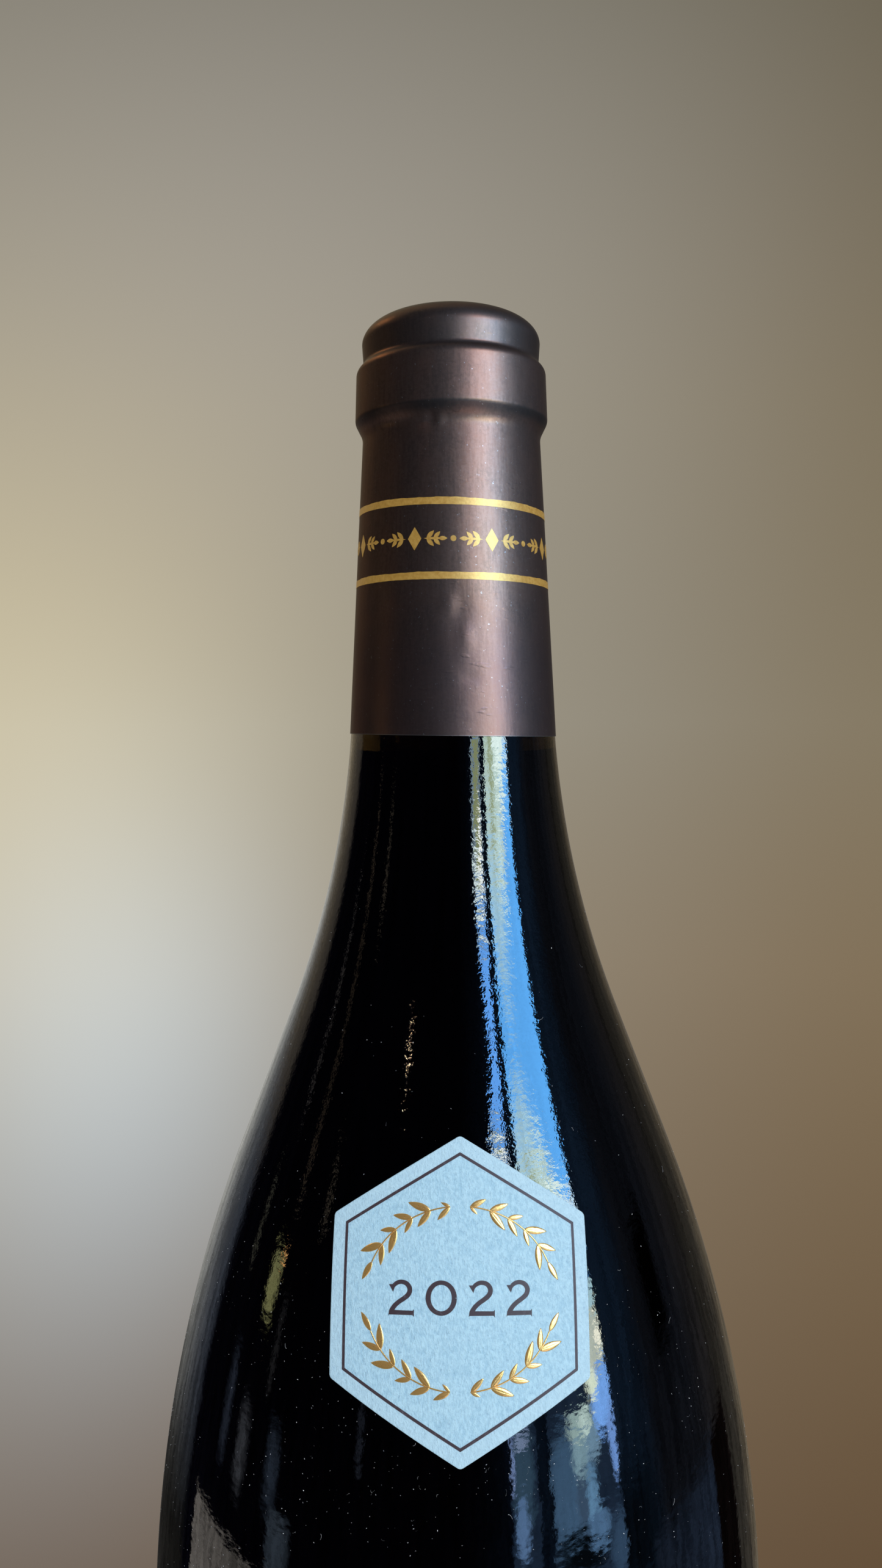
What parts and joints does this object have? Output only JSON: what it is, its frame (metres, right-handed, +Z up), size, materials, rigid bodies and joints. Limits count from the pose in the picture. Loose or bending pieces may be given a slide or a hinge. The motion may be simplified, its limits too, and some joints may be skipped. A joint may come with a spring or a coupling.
{
  "type": "wine bottle",
  "caption": "Full wine bottle of dark glass with long sloping shoulders, a deep punt, a foil capsule over the mouth and a six-sided paper label on the shoulder.",
  "frame": {"origin": "centre of the ring that the bottle stands on", "axes": "+Z up along the bottle's axis, towards the mouth; the label on the shoulder looks towards -Y"},
  "size_m": [0.091, 0.091, 0.2941],
  "materials": {
    "dark_glass": "thick, almost black olive bottle glass, fire polished and glossy",
    "wine": "clear deep red liquid, near black in bulk",
    "capsule_foil": "satin bronze-brown lacquered foil with two thin gold lines and a gold ornament",
    "label_paper": "thick uncoated pale blue paper with brown print and embossed gold foil"
  },
  "bodies": {
    "root": {"glass_bottle": "dark_glass", "wine": "wine", "foil_capsule": "capsule_foil", "paper_label": "label_paper"}
  },
  "joints": []
}
